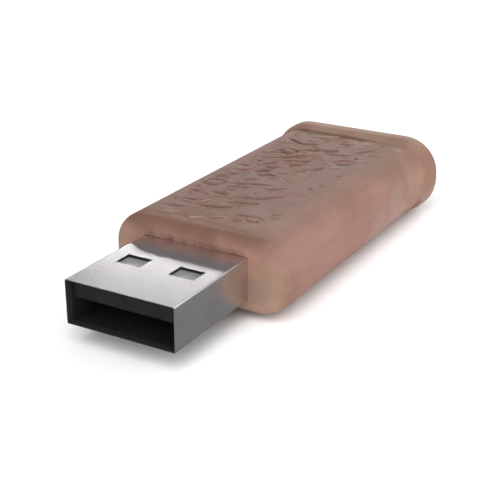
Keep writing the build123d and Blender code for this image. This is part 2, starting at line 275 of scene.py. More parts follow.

# Strokes listed one by one: x, y, length, width, depth (raised if negative), degrees from +X, bend
STROKES = [
    (-1.8, -10.3, 2.0, 0.45, -0.12, 30, 0.0),
    (0.3, -9.0, 1.3, 0.4, -0.09, 28, 0.0),
    (1.4, -10.1, 0.9, 0.35, -0.06, 26, 0.0),
    (-4.6, -9.9, 1.6, 0.6, -0.06, 20, 0.0),
    (-5.5, -8.5, 2.2, 0.6, 0.12, 12, 0.0),
    (-5.1, -5.9, 1.4, 0.5, 0.16, 6, 0.0),
    (-1.7, -6.6, 3.6, 0.5, 0.19, 18, 0.05),
    (-1.2, -5.9, 2.1, 0.35, -0.08, 28, 0.0),
    (2.4, -7.3, 1.9, 0.4, 0.14, 9, 0.05),
    (2.4, -8.9, 1.0, 0.4, 0.12, 22, 0.0),
    (5.1, -5.4, 1.8, 0.45, 0.12, 36, 0.05),
    (5.4, -6.6, 1.3, 0.4, 0.10, 22, 0.0),
    (0.4, -4.2, 2.9, 0.45, 0.19, 17, -0.04),
    (0.0, -2.8, 2.9, 0.4, 0.16, 20, 0.07),
    (-3.3, -2.8, 1.8, 0.5, 0.19, 2, -0.12),
    (-6.2, -3.5, 0.7, 0.5, 0.17, 30, 0.0),
    (-2.6, -0.2, 2.2, 0.45, 0.18, 20, 0.0),
    (-2.0, 1.3, 3.6, 0.45, 0.19, 17, -0.04),
    (2.2, -1.3, 2.8, 0.4, 0.13, 50, 0.0),
    (1.2, 1.1, 2.4, 0.45, 0.12, 30, 0.05),
    (-1.6, 5.1, 1.6, 0.45, 0.15, -8, 0.0),
    (-2.3, 4.7, 1.5, 0.5, 0.16, 38, 0.0),
    (-3.1, 5.9, 2.0, 0.8, 0.17, 43, 0.0),
    (-0.8, 6.4, 1.2, 0.4, -0.08, 30, 0.0),
    (-2.8, 7.5, 1.5, 0.5, 0.14, 13, 0.0),
    (-3.7, 8.8, 1.9, 0.5, 0.18, 45, 0.05),
    (5.2, 4.5, 1.1, 0.4, 0.10, 20, 0.0),
    (5.5, 8.6, 1.4, 0.45, 0.10, 30, 0.0),
    (2.0, 9.5, 1.5, 0.6, 0.15, 50, 0.1),
    (-0.8, 9.5, 1.7, 0.6, 0.18, 27, 0.0),
    (-1.3, 10.9, 2.8, 0.55, 0.20, 20, 0.0),
    (3.6, 10.9, 1.4, 0.7, -0.08, 36, 0.0),
    (-3.9, 11.0, 4.1, 0.4, 0.13, 24, 0.0),
    (-5.4, 12.3, 2.6, 0.5, 0.16, 41, 0.0),
    (-1.8, 12.7, 4.2, 0.4, 0.17, 31, 0.0),
    (-2.3, 15.0, 3.0, 0.5, 0.18, 42, 0.0),
    (2.0, 15.4, 3.0, 0.5, 0.12, 16, 0.0),
    (0.4, 16.3, 1.6, 0.75, 0.22, 32, 0.0),
    (-5.2, 17.8, 3.2, 0.5, 0.20, -27, 0.06),
    (-3.1, 17.5, 2.0, 0.5, 0.19, 26, 0.0),
    (4.1, 18.3, 3.4, 0.45, 0.14, 60, 0.03),
    (0.8, 19.6, 2.2, 0.45, 0.14, 20, 0.0),
    (-2.2, 21.0, 2.5, 0.45, 0.18, 24, 0.0),
    (-4.6, 21.9, 2.8, 0.4, 0.18, 8, 0.0),
    (0.6, 22.2, 2.6, 0.4, 0.16, 6, 0.0),
]
# Curls listed one by one: x, y, radius, stretch along, depth, degrees from +X
EYELETS = [
    (-5.9, 0.0, 0.8, 1.4, 0.15, 30),
    (3.7, -7.9, 0.6, 1.3, 0.12, 20),
    (-4.0, 13.9, 0.7, 1.4, 0.13, 20),
    (3.6, 13.0, 0.75, 1.4, 0.10, 30),
]
PINHOLES = [
    (-4.6, 7.6),
    (4.2, 15.1),
    (4.1, -8.1),
    (-6.7, -2.0),
    (-3.8, 18.7),
    (1.7, -3.7),
    (4.4, 3.0),
    (-0.2, -3.1),
    (-5.2, 21.4),
]
PINHOLE_RADIUS, PINHOLE_DEPTH = 0.19, 0.22

# Seeded strokes between those: how many, ranges of length, width and depth, and how far they stray in turn
LOOSE_STROKES = [
    (80, (0.8, 2.1), (0.3, 0.65), (0.04, 0.10), 15),
    (190, (0.3, 0.9), (0.24, 0.45), (0.03, 0.08), 22),
    (60, (0.5, 1.5), (0.24, 0.4), (-0.09, -0.04), 15),
    (18, (2.5, 5.0), (0.2, 0.3), (-0.04, 0.06), 12),
]
LOOSE_SEED = 11
LOOSE_X = (-7.0, 6.6)
LOOSE_Y = (BODY_LOW.y + 1.2, BODY_HIGH.y - 0.3)
LOOSE_BEND = 0.5
# How their turn varies over the plan, in degrees, and how likely one is to be kept
SWIRL, SWIRL_SIZE, SWIRL_SLICE = 45, 3.5, 2.2
CLUSTERING, CLUSTER_SIZE, CLUSTER_SLICE = 2.2, 3, 5.5
CROWDING, CROWDING_X, CROWDING_PER_X, CROWDING_PER_Y = 0.45, -2, 0.1, 0.05


def loose_strokes():
    """Seeded strokes in clusters between those listed, fewer towards the right and the front."""
    draw = random.Random(LOOSE_SEED)
    strokes = []
    for count, lengths, widths, depths, stray in LOOSE_STROKES:
        while count > 0:
            x, y = draw.uniform(*LOOSE_X), draw.uniform(*LOOSE_Y)
            length, width, depth = draw.uniform(*lengths), draw.uniform(*widths), draw.uniform(*depths)
            swirl = SWIRL * noise.noise((x / SWIRL_SIZE, y / SWIRL_SIZE, SWIRL_SLICE))
            turn = draw.gauss(GRAIN_TURN + swirl, stray)
            bend = draw.uniform(-LOOSE_BEND, LOOSE_BEND) / length
            cluster = noise.noise((x / CLUSTER_SIZE, y / CLUSTER_SIZE, CLUSTER_SLICE))
            sparser, denser = CROWDING_PER_X * (x - CROWDING_X), CROWDING_PER_Y * y
            if draw.random() < CROWDING - sparser + denser + CLUSTERING * cluster:
                strokes.append((x, y, length, width, depth, turn, bend))
                count -= 1
    return strokes


def carved_height(x, y):
    """The relief's height over the flat top at plan points, before it is faded at its edges."""
    along, across = turned(x, y, (0, 0), GRAIN_TURN)
    along = along * GRAIN_STRETCH
    height = FIGURED_RISE + SWELL_HEIGHT * fractal_field(x, y, SWELL_SIZE, SLICE["swell"])
    height += RIPPLE_HEIGHT * fractal_field(along, across, RIPPLE_SIZE, SLICE["ripple"])
    height -= FURROW_DEPTH * np.abs(fractal_field(along, across, FURROW_SIZE, SLICE["furrow"]))
    for stroke in STROKES + loose_strokes():
        height += gouge(x, y, stroke)
    for curl in EYELETS:
        height += eyelet(x, y, curl)
    for centre in PINHOLES:
        height += pinhole(x, y, centre)
    foot = fade(y, BODY_HIGH.y - FOOT_GROOVE_START, BODY_HIGH.y - FOOT_GROOVE_END)
    return height - FOOT_GROOVE_DEPTH * (foot * (1 - fade(x, *FOOT_GROOVE_X)))


def relief_share(x, y):
    """How strong the relief is at plan points: full on the top's middle, ragged at its edges, then none."""
    ragged = FIGURED_RAGGED * fractal_field(x, y, FIGURED_RAGGED_SIZE, SLICE["figured"])
    left = fade(x + ragged, *FIGURED_LEFT)
    right = 1 - fade(x + FIGURED_RAGGED_RIGHT * ragged, *FIGURED_RIGHT)
    border = BODY_LOW.y + np.interp(x, *zip(*FIGURED_BORDER))
    border += BORDER_RAGGED * fractal_field(x, 0 * x, BORDER_RAGGED_SIZE, SLICE["border"])
    return left * right * fade(y - border, -BORDER_WIDTH, BORDER_WIDTH)


def row(start, step, count, height, radius, strength):
    """Patches in a row, from a point of the plan on, all at one height."""
    return [(start[0] + step[0] * i, start[1] + step[1] * i, height, radius, strength) for i in range(count)]


# Patches of the wood's tone and of painted light and shade: x, y, z, radius, strength
TAN_TONE_AND_HIGHLIGHT_PATCHES = [
    (7.7, -13.1, 3.8, 2.8, 1.0),
    (-9.8, -12.0, 5.5, 3.3, 0.9),
    (-9.0, -3.5, 7.8, 2.6, 0.4),
    (-9.0, 1.0, 7.8, 2.8, 0.4),
    (-9.0, 5.5, 7.8, 2.4, 0.4),
    (4.6, -7.0, 8.5, 3.0, 0.3),
    (-3.5, 24.6, 9.2, 4.4, 1.0),
    (2.5, 24.6, 9.2, 4.0, 1.0),
    (7.0, 24.2, 9.0, 3.2, 0.7),
    (-9.4, 23.8, 7.6, 3.2, 1.0),
    (10.0, 20.0, 6.0, 3.0, 0.5),
    (-10.0, 14.0, 4.0, 4.0, 0.5),
    (-2.0, 5.0, 0.6, 5.0, 0.5),
    (3.0, 25.6, 4.0, 3.5, 0.5),
    # Painted highlight along the raised strokes at the top's front
    (-5.2, -10.0, 8.5, 0.9, 0.4),
    (-4.4, -10.2, 8.5, 0.9, 0.4),
    (1.4, -10.2, 8.5, 0.4, 0.6),
    *row((-2.5, -10.8), (0.35, 0.2), 5, 8.5, 0.36, 1.0),
    *row((-0.1, -9.2), (0.3, 0.17), 4, 8.5, 0.36, 0.7),
]
RUSSET_TONE_AND_SHADE_PATCHES = [
    # Painted shade on the upper front rounding, just below the carved area's border
    (0.8, -11.3, 8.5, 1.0, 0.7),
    (2.9, -11.4, 8.5, 1.2, 0.9),
    (4.9, -11.6, 8.5, 1.1, 0.9),
    (-2.9, -9.9, 8.5, 1.9, 0.8),
    (-1.2, -9.6, 8.5, 1.7, 0.7),
    (0.4, -8.6, 8.5, 2.6, 0.3),
    (-2.0, 9.0, 8.5, 4.5, 0.4),
    (9.8, -11.6, 3.5, 2.0, 0.6),
    (-3.5, 16.0, 8.5, 4.5, 0.48),
    (8.5, 6.0, 7.0, 4.0, 0.3),
    (9.4, 17.5, 6.0, 4.6, 0.35),
    (10.4, 24.5, 5.0, 4.5, 0.6),
    (-3.0, 12.0, 0.6, 6.0, 0.4),
    (-9.8, -4.0, 3.5, 5.0, 0.4),
    # Painted shade along the upper front rounding
    *row((-7.6, -11.9), (1.2, 0), 11, 8.5, 1.6, 0.82),
]
OLIVE_PATCHES = [
    (5.3, 18.6, 8.5, 3.2, 0.8),
    (8.2, 15.5, 8.2, 3.4, 0.7),
    (8.6, 20.5, 7.6, 2.4, 0.6),
    (8.0, 2.4, 8.0, 3.0, 0.6),
    (1.6, 6.0, 8.5, 2.6, 0.5),
    (-1.1, -6.5, 8.5, 2.2, 0.5),
    (-8.8, 0.0, 8.0, 2.4, 0.7),
    (-8.8, 4.5, 8.0, 2.4, 0.6),
    (-2.0, -4.0, 8.5, 3.0, 0.4),
    (10.3, -9.5, 3.0, 2.4, 0.3),
    (6.2, -11.6, 8.4, 2.0, 0.9),
    (-6.4, -11.8, 8.4, 2.4, 0.4),
    (7.8, 12.0, 8.2, 2.4, 0.6),
]
# Painted light on the lower front rounding and the front around the plug
ROSY_PAINTED_LIGHT_PATCHES = row((-7.5, -14.3), (1.5, 0), 10, 6.3, 2.3, 0.8)
# Painted bounce light from the floor on the lower right side, towards the rear
ASHY_PAINTED_LIGHT_PATCHES = [
    (10.0, 9.0, 2.6, 3.4, 0.6),
    (10.0, 14.0, 2.6, 3.4, 0.8),
    (10.4, 24.4, 2.2, 2.6, 0.7),
]
PATCHES = {
    "tan": TAN_TONE_AND_HIGHLIGHT_PATCHES,
    "russet": RUSSET_TONE_AND_SHADE_PATCHES,
    "olive": OLIVE_PATCHES,
    "rosy_painted_light": ROSY_PAINTED_LIGHT_PATCHES,
    "ashy_painted_light": ASHY_PAINTED_LIGHT_PATCHES,
}


def paint_patches_of_tone_and_light(piece, points):
    """Stores how far each point is inside each kind of patch, tone and painted light and shade alike, with
    soft, ragged borders.
    """
    x, y, z = points.T
    for layer, (name, patches) in enumerate(PATCHES.items()):
        patch_slice = SLICE["patches"] + PATCH_SLICE_STEP * layer
        ragged = PATCH_RAGGED * fractal_field(x + z, y - z, PATCH_RAGGED_SIZE, patch_slice)
        share = np.zeros(len(points))
        for px, py, pz, radius, strength in patches:
            distance = np.sqrt((x - px) ** 2 + (y - py) ** 2 + (z - pz) ** 2) / radius
            share = np.maximum(share, strength * (1 - fade(distance + ragged, PATCH_FULL, PATCH_GONE)))
        point_values(piece, name, share)


# The wooden pieces ------------------------------------------------------------------------------------------

def fillet_rings(start_y, radius, steps, towards_rear):
    """(y, inset) pairs down a rounded edge, from the end face to the full section or back."""
    turns = [pi / 2 * i / steps for i in range(steps + 1)]
    pairs = [(start_y + radius * (1 - cos(t)), radius * (1 - sin(t))) for t in turns]
    if towards_rear:
        return pairs
    return [(2 * start_y - y, inset) for y, inset in reversed(pairs)]


def body_rings():
    """The body's rings: front face, rounded front edge, outer wall, rear face, pocket and plug hole.

    Returns the points, their outline normals, which are on the outer wall, and how many rings there are.
    """
    half_width, half_height = BODY_HIGH.x, BODY_HIGH.z - AXIS_Z
    hole_half_width = SHELL_HIGH.x + HOLE_CLEARANCE
    hole_half_height = SHELL_HIGH.z - AXIS_Z + HOLE_CLEARANCE
    hole = rounded_outline(hole_half_width, hole_half_height, HOLE_RADIUS, BODY_STEPS)
    pocket = rounded_outline(POCKET_HALF_WIDTH, POCKET_HALF_HEIGHT, POCKET_RADIUS, BODY_STEPS)

    def wall(inset):
        return rounded_outline(half_width - inset, half_height - inset, SIDE_RADIUS - inset, BODY_STEPS)

    front, rear = BODY_LOW.y, BODY_HIGH.y
    outer = fillet_rings(front, FRONT_FILLET, FRONT_FILLET_STEPS, True)
    wall_start, wall_end = front + FRONT_FILLET, rear - REAR_BEVEL
    steps = round((wall_end - wall_start) / RELIEF_STEP)
    outer += [(wall_start + (wall_end - wall_start) * i / steps, 0) for i in range(1, steps + 1)]
    outer.append((rear, REAR_BEVEL))
    rings = [(front, hole, False)]
    rings += [(y, wall(inset), True) for y, inset in outer]
    pocket_end = front + HOLE_DEPTH
    pocket_ys = [rear + (pocket_end - rear) * i / POCKET_STEPS for i in range(POCKET_STEPS + 1)]
    rings += [(y, pocket, False) for y in pocket_ys]
    rings.append((pocket_end, hole, False))
    points = np.concatenate([ring_at(y, outline) for y, outline, _ in rings])
    normals = np.concatenate([outline[1] for _, outline, _ in rings])
    outside = np.concatenate([np.full(len(outline[0]), on_wall) for _, outline, on_wall in rings])
    return points, normals, outside, len(rings)


def ragged_front(points, normals):
    """How far back the wood is worn where its front meets the plug's top."""
    x, y, z = points.T
    near_plug = (normals[:, 1] > WEAR_FACING) & (z > SHELL_HIGH.z) & (y < BODY_LOW.y + FRONT_FILLET)
    low = 1 - fade(z, SHELL_HIGH.z + WEAR_START, SHELL_HIGH.z + WEAR_END)
    inward = 1 - fade(np.abs(x), WEAR_HALF_WIDTH, WEAR_HALF_WIDTH + WEAR_SIDE_FADE)
    ragged = WEAR_MEAN + fractal_field(x, 0 * x, WEAR_SIZE, SLICE["wear"])
    return WEAR_DEPTH * near_plug * low * inward * ragged


def wooden_body():
    """The body with its carved top, as one closed mesh with the plug's hole and the pocket through it."""
    points, normals, outside, ring_count = body_rings()
    x, y = points[:, 0], points[:, 1]
    on_top = outside & (normals[:, 1] > RELIEF_STARTS_AT)
    share, height = np.zeros(len(points)), np.zeros(len(points))
    upward = fade(normals[on_top, 1], RELIEF_STARTS_AT, RELIEF_FULL_AT)
    share[on_top] = relief_share(x[on_top], y[on_top]) * upward
    carved = on_top & (share > 0)
    height[carved] = carved_height(x[carved], y[carved]) * share[carved]
    height = np.clip(height, -RELIEF_DEEPEST, RELIEF_HIGHEST)
    points[:, 0] += normals[:, 0] * height
    points[:, 2] += normals[:, 1] * height
    points[:, 1] += ragged_front(points, normals)
    faces = ring_faces(ring_count, len(points) // ring_count, closed=True)
    piece = make_piece("carved_body", points, faces, BODY_SMOOTH_ANGLE)
    point_values(piece, "relief", (height - share * FIGURED_RISE) / RELIEF_DEEPEST)
    point_values(piece, "figured", share)
    paint_patches_of_tone_and_light(piece, points)
    return piece


def capped(points, ring_count):
    """Faces of a loft whose first and last rings are closed by flat faces."""
    size = len(points) // ring_count
    faces = ring_faces(ring_count, size, closed=False)
    faces.append(list(range(size - 1, -1, -1)))
    faces.append(list(range(len(points) - size, len(points))))
    return faces


def between(first, second, share):
    """An outline part of the way from one to another."""
    return tuple(a + (b - a) * share for a, b in zip(first, second))


def risen(points, share):
    """How far the flange's front has risen: steeply on the left and below, softly on the upper right."""
    steep = 1 - fade(points[:, 0], *SOFT_FOOT_X) * fade(points[:, 1], *SOFT_FOOT_Z)
    rise = steep * (FOOT_STEP + (1 - FOOT_STEP) * sin(pi / 2 * share)) + (1 - steep) * fade(share, 0, 1)
    return rise[:, None]


def wooden_cap():
    """The flanged cap: a chamfered spigot, and a flange that swells up from the body's own section."""
    spigot_size = (SPIGOT_HALF_WIDTH, SPIGOT_HALF_HEIGHT, SPIGOT_RADIUS)
    flange_size = (CAP_HIGH.x, CAP_HIGH.z - AXIS_Z, FLANGE_RADIUS)

    def spigot(inset):
        return rounded_outline(*(size - inset for size in spigot_size), CAP_STEPS)

    def flange(inset):
        return rounded_outline(*(size - inset for size in flange_size), CAP_STEPS)

    tip, rear = CAP_LOW.y, CAP_HIGH.y
    front = rear - FLANGE_LENGTH
    rings = [(tip, spigot(SPIGOT_CHAMFER)), (tip + SPIGOT_CHAMFER, spigot(0)), (front, spigot(0))]
    body = rounded_outline(BODY_HIGH.x, BODY_HIGH.z - AXIS_Z, SIDE_RADIUS, CAP_STEPS)
    for share in np.linspace(0, 1, FLANGE_RISE_RINGS):
        rings.append((front + FLANGE_RISE * share, between(body, flange(0), risen(body[0], share))))
    rear_edge = fillet_rings(rear, FLANGE_REAR_FILLET, FLANGE_FILLET_STEPS, False)
    rings += [(y, flange(inset)) for y, inset in rear_edge]
    points = np.concatenate([ring_at(y, outline) for y, outline in rings])
    piece = make_piece("turned_cap", points, capped(points, len(rings)), CAP_SMOOTH_ANGLE)
    paint_patches_of_tone_and_light(piece, points)
    return piece


# Materials --------------------------------------------------------------------------------------------------

# Where most of a noise texture's values lie, and where those of soft clouds change
NOISE_RANGE, CLOUD_RANGE = (0.3, 0.7), (0.35, 0.65)


class Recipe:
    """A Principled material being wired. Its texture coordinates are millimetres in the row frame."""

    def __init__(self, name, constants):
        self.material = bpy.data.materials.new(name)
        self.material.use_nodes = True
        self.tree = self.material.node_tree
        self.surface = self.tree.nodes["Principled BSDF"]
        self.coordinates = self.tree.nodes.new("ShaderNodeTexCoord").outputs["Object"]
        for socket, value in constants.items():
            self.set(socket, value)

    def set(self, socket, value):
        """Gives one of the surface's sockets a constant or a link."""
        self.wire(self.surface.inputs[socket], value)

    def wire(self, socket, value):
        """Gives a socket of any node a constant or a link."""
        if isinstance(value, bpy.types.NodeSocket):
            self.tree.links.new(value, socket)
        else:
            socket.default_value = value

    def node(self, kind, inputs, **settings):
        """A node with its settings, and its inputs by name or number."""
        node = self.tree.nodes.new(kind)
        for setting, value in settings.items():
            setattr(node, setting, value)
        for socket, value in inputs.items():
            self.wire(node.inputs[socket], value)
        return node

    def scaled(self, scale):
        """The coordinates in millimetres, times a scale along X, Y and Z."""
        factors = [factor / MM for factor in scale]
        return self.node("ShaderNodeMapping", {"Vector": self.coordinates, "Scale": factors}).outputs[0]

    def noise(self, scale, detail=3.0, roughness=0.55, distortion=0.0):
        """Fractal noise with that many features to the millimetre along X, Y and Z."""
        inputs = {"Vector": self.scaled(scale), "Scale": 1.0, "Detail": detail, "Roughness": roughness}
        return self.node("ShaderNodeTexNoise", inputs | {"Distortion": distortion}).outputs["Fac"]

    def cells(self, scale, **settings):
        """Distance in a pattern of cells, with that many to the millimetre."""
        inputs = {"Vector": self.scaled(scale), "Scale": 1.0}
        return self.node("ShaderNodeTexVoronoi", inputs, **settings).outputs["Distance"]

    def ease(self, value, start, end, low=0.0, high=1.0):
        """Maps start..end to low..high, smoothly, and holds it beyond them."""
        inputs = {"Value": value, "From Min": start, "From Max": end, "To Min": low, "To Max": high}
        return self.node("ShaderNodeMapRange", inputs, interpolation_type="SMOOTHSTEP").outputs[0]

    def mix(self, share, first, second):
        """Two colours mixed, from the first at a share of 0 to the second at 1."""
        # By number, since the node's sockets for numbers, vectors and colours have the same names
        inputs = {0: share, 6: first, 7: second}
        return self.node("ShaderNodeMix", inputs, data_type="RGBA").outputs[2]

    def cloudy(self, clouds, light, dark):
        """Two shades of one colour in soft clouds."""
        return self.mix(self.ease(clouds, *CLOUD_RANGE), light, dark)

    def math(self, operation, first, second=0.0):
        """The result of a Math node."""
        return self.node("ShaderNodeMath", {0: first, 1: second}, operation=operation).outputs[0]

    def attribute(self, name):
        """A number stored for each of the piece's points."""
        return self.node("ShaderNodeAttribute", {}, attribute_name=name).outputs["Fac"]

    def bump(self, height, depth, below=None):
        """Adds a bump of that many millimetres from a height of 0 to 1, on top of another bump if given."""
        inputs = {"Height": height, "Distance": depth * MM, "Strength": 1.0}
        if below is not None:
            inputs["Normal"] = below
        return self.node("ShaderNodeBump", inputs).outputs[0]


def rgb(red, green, blue):
    """A linear colour as a socket takes it."""
    return (red, green, blue, 1.0)


# The wood's colours
WOOD_LIGHT, WOOD_DARK = rgb(0.41, 0.229, 0.182), rgb(0.362, 0.20, 0.157)
STREAK_TONE, FIBRE_TONE, PORE_TONE = rgb(0.30, 0.14, 0.10), rgb(0.22, 0.11, 0.08), rgb(0.12, 0.06, 0.045)
FIGURED_GREY, FIGURED_BROWN = rgb(0.30, 0.192, 0.148), rgb(0.317, 0.173, 0.142)
# Painted highlight for the relief's raised lips and painted shade for its grooves
RAISED_LIP_HIGHLIGHT, GROOVE_SHADE = rgb(0.56, 0.40, 0.31), rgb(0.13, 0.078, 0.06)

# Kinds of patch, of tone and of painted light and shade: how much of the wood's colour each takes over, and
# its own
PATCH_TONES = [
    # This kind is partly the wood's tone and partly painted highlight on raised strokes
    ("tan", 0.7, rgb(0.50, 0.345, 0.24)),
    # This kind is partly the wood's tone and partly painted shade on the upper front rounding
    ("russet", 0.7, rgb(0.25, 0.122, 0.072)),
    ("olive", 0.8, rgb(0.29, 0.17, 0.11)),
    # This kind is painted light on the lower front
    ("rosy_painted_light", 0.8, rgb(0.63, 0.335, 0.25)),
    # This kind is painted bounce light from the floor
    ("ashy_painted_light", 0.7, rgb(0.40, 0.29, 0.26)),
]


def wood_material():
    """Red-brown wood: broad figure, fibres and pores along Y, greyer where it is carved, and patched. Raised
    lips get a painted highlight and grooves painted shade.
    """
    recipe = Recipe("red_brown_wood", {"Specular IOR Level": 0.35})
    figure = recipe.noise((0.16, 0.07, 0.16), 3.0, 0.5, 0.6)
    streaks = recipe.noise((0.9, 0.09, 0.9), 4.0, 0.6, 0.3)
    fibres = recipe.noise((9.0, 0.5, 9.0), 3.0, 0.6)
    clouds = recipe.ease(recipe.noise((0.3, 0.3, 0.3)), 0.4, 0.6)
    pores = recipe.ease(recipe.noise((6.5, 0.8, 6.5), 2.0, 0.5), 0.64, 0.74)
    relief, figured = recipe.attribute("relief"), recipe.attribute("figured")
    colour = recipe.cloudy(figure, WOOD_LIGHT, WOOD_DARK)
    colour = recipe.mix(recipe.ease(streaks, 0.3, 0.75, 0.0, 0.25), colour, STREAK_TONE)
    grey = recipe.mix(clouds, FIGURED_GREY, FIGURED_BROWN)
    colour = recipe.mix(recipe.math("MULTIPLY", figured, 0.9), colour, grey)
    # Patches of the wood's tone, and patches of painted light and shade
    for patch, strength, tone in PATCH_TONES:
        share = recipe.math("MULTIPLY", recipe.attribute(patch), strength)
        colour = recipe.mix(share, colour, tone)
    colour = recipe.mix(recipe.ease(fibres, 0.35, 0.7, 0.0, 0.09), colour, FIBRE_TONE)
    colour = recipe.mix(recipe.math("MULTIPLY", pores, 0.25), colour, PORE_TONE)
    # Painted highlight where the relief is raised, painted shade where it is cut
    colour = recipe.mix(recipe.ease(relief, 0.08, 0.4, 0.0, 0.6), colour, RAISED_LIP_HIGHLIGHT)
    colour = recipe.mix(recipe.ease(relief, -0.12, -0.75, 0.0, 0.5), colour, GROOVE_SHADE)
    recipe.set("Base Color", colour)
    recipe.set("Roughness", recipe.ease(fibres, *NOISE_RANGE, 0.60, 0.72))
    grain = recipe.bump(fibres, 0.007)
    recipe.set("Normal", recipe.bump(recipe.math("SUBTRACT", 1.0, pores), 0.015, grain))
    return recipe.material


# How deep under the shell's outside its painted shade is full, and where it starts
SHADE_FULL_DEPTH, SHADE_START_DEPTH = 0.05, 0.03
SHELL_LIGHT, SHELL_DARK = rgb(0.76, 0.735, 0.745), rgb(0.70, 0.675, 0.685)
# Painted shade: near black for the shell's inside and cut edges, where the mouth is in shade
SHELL_INSIDE_SHADE = rgb(0.017, 0.017, 0.017)


def shell_material():
    """Satin nickel-plated sheet. The cut edges and the inside are painted near black and not metallic, as
    painted shade in the plug's mouth.
    """
    recipe = Recipe("satin_sheet_steel", {})
    place = recipe.node("ShaderNodeSeparateXYZ", {0: recipe.scaled((1, 1, 1))})
    middle, half_height = (SHELL_LOW.z + SHELL_HIGH.z) / 2, (SHELL_HIGH.z - SHELL_LOW.z) / 2
    from_side = recipe.math("ABSOLUTE", place.outputs["X"])
    from_middle = recipe.math("ABSOLUTE", recipe.math("SUBTRACT", place.outputs["Z"], middle))
    on_side = recipe.ease(from_side, SHELL_HIGH.x - SHADE_FULL_DEPTH, SHELL_HIGH.x - SHADE_START_DEPTH)
    on_face = recipe.ease(from_middle, half_height - SHADE_FULL_DEPTH, half_height - SHADE_START_DEPTH)
    outside = recipe.math("MAXIMUM", on_side, on_face)
    rolled = recipe.noise((14.0, 0.7, 14.0), 3.0, 0.6)
    clouds = recipe.noise((0.35, 0.2, 0.35), 3.0)
    steel = recipe.cloudy(clouds, SHELL_LIGHT, SHELL_DARK)
    # Painted shade inside and on the cut edges, plated steel outside
    recipe.set("Base Color", recipe.mix(outside, SHELL_INSIDE_SHADE, steel))
    recipe.set("Metallic", outside)
    fine = recipe.ease(rolled, *NOISE_RANGE, 0.252, 0.258)
    broad = recipe.ease(clouds, *NOISE_RANGE, 0.0, 0.005)
    dull_inside = recipe.ease(outside, 0.0, 1.0, 0.75, 0.0)
    recipe.set("Roughness", recipe.math("MAXIMUM", recipe.math("ADD", fine, broad), dull_inside))
    recipe.set("Normal", recipe.bump(rolled, 0.00003))
    return recipe.material


def metal_material(name, light, dark, roughness, grain_scale, depth):
    """Bare metal with cloudy colour, and a fine grain in its gloss and its surface."""
    recipe = Recipe(name, {"Metallic": 1.0})
    clouds, grain = recipe.noise((0.9, 0.9, 0.9)), recipe.noise(grain_scale, 3.0, 0.6)
    recipe.set("Base Color", recipe.cloudy(clouds, rgb(*light), rgb(*dark)))
    recipe.set("Roughness", recipe.ease(grain, *NOISE_RANGE, roughness - 0.06, roughness + 0.08))
    recipe.set("Normal", recipe.bump(grain, depth))
    return recipe.material


def dull_plate_material():
    """Unplated sheet that has gone matt grey, with a rolled grain."""
    recipe = Recipe("dull_plate", {"Metallic": 0.3})
    clouds, grain = recipe.noise((0.5, 0.5, 0.5)), recipe.noise((9.0, 0.9, 9.0), 3.0, 0.6)
    recipe.set("Base Color", recipe.cloudy(clouds, rgb(0.51, 0.495, 0.50), rgb(0.46, 0.445, 0.45)))
    recipe.set("Roughness", recipe.ease(grain, *NOISE_RANGE, 0.5, 0.62))
    recipe.set("Normal", recipe.bump(grain, 0.0015))
    return recipe.material


def moulded_material(name, light, dark, roughness, grain_size, depth):
    """A moulded or fired surface with a fine pebbled grain and slight clouds in its colour and gloss."""
    recipe = Recipe(name, {"Specular IOR Level": 0.5})
    clouds = recipe.noise((0.6, 0.6, 0.6))
    pebbles = recipe.cells((1 / grain_size,) * 3)
    recipe.set("Base Color", recipe.cloudy(clouds, rgb(*light), rgb(*dark)))
    recipe.set("Roughness", recipe.ease(clouds, *NOISE_RANGE, roughness - 0.05, roughness + 0.07))
    recipe.set("Normal", recipe.bump(pebbles, depth))
    return recipe.material


def board_material():
    """Green mask over a glass weave, with raised copper runs under it."""
    recipe = Recipe("green_solder_mask", {"Coat Weight": 0.4, "Coat Roughness": 0.15})
    weave = recipe.math("MULTIPLY", recipe.noise((3.0, 0.4, 1.0)), recipe.noise((0.4, 3.0, 1.0)))
    to_run = recipe.cells((0.9, 0.35, 0.0), distance="CHEBYCHEV", feature="DISTANCE_TO_EDGE")
    runs = recipe.ease(to_run, 0.05, 0.08, 1.0, 0.0)
    mask = recipe.mix(runs, rgb(0.012, 0.10, 0.04), rgb(0.03, 0.20, 0.075))
    woven = recipe.ease(weave, 0.2, 0.35, 0.0, 0.3)
    recipe.set("Base Color", recipe.mix(woven, mask, rgb(0.02, 0.07, 0.03)))
    recipe.set("Roughness", recipe.ease(weave, 0.15, 0.4, 0.3, 0.42))
    recipe.set("Normal", recipe.bump(runs, 0.01, recipe.bump(weave, 0.01)))
    return recipe.material


def foam_material():
    """Dark closed-cell foam."""
    recipe = Recipe("closed_cell_foam", {"Specular IOR Level": 0.25})
    bubbles, clouds = recipe.cells((3.2, 3.2, 3.2)), recipe.noise((0.8, 0.8, 0.8))
    hollow = recipe.ease(bubbles, 0.0, 0.6)
    recipe.set("Base Color", recipe.mix(hollow, rgb(0.04, 0.04, 0.042), rgb(0.1, 0.1, 0.105)))
    recipe.set("Roughness", recipe.ease(clouds, *NOISE_RANGE, 0.8, 0.95))
    recipe.set("Normal", recipe.bump(bubbles, 0.08))
    return recipe.material


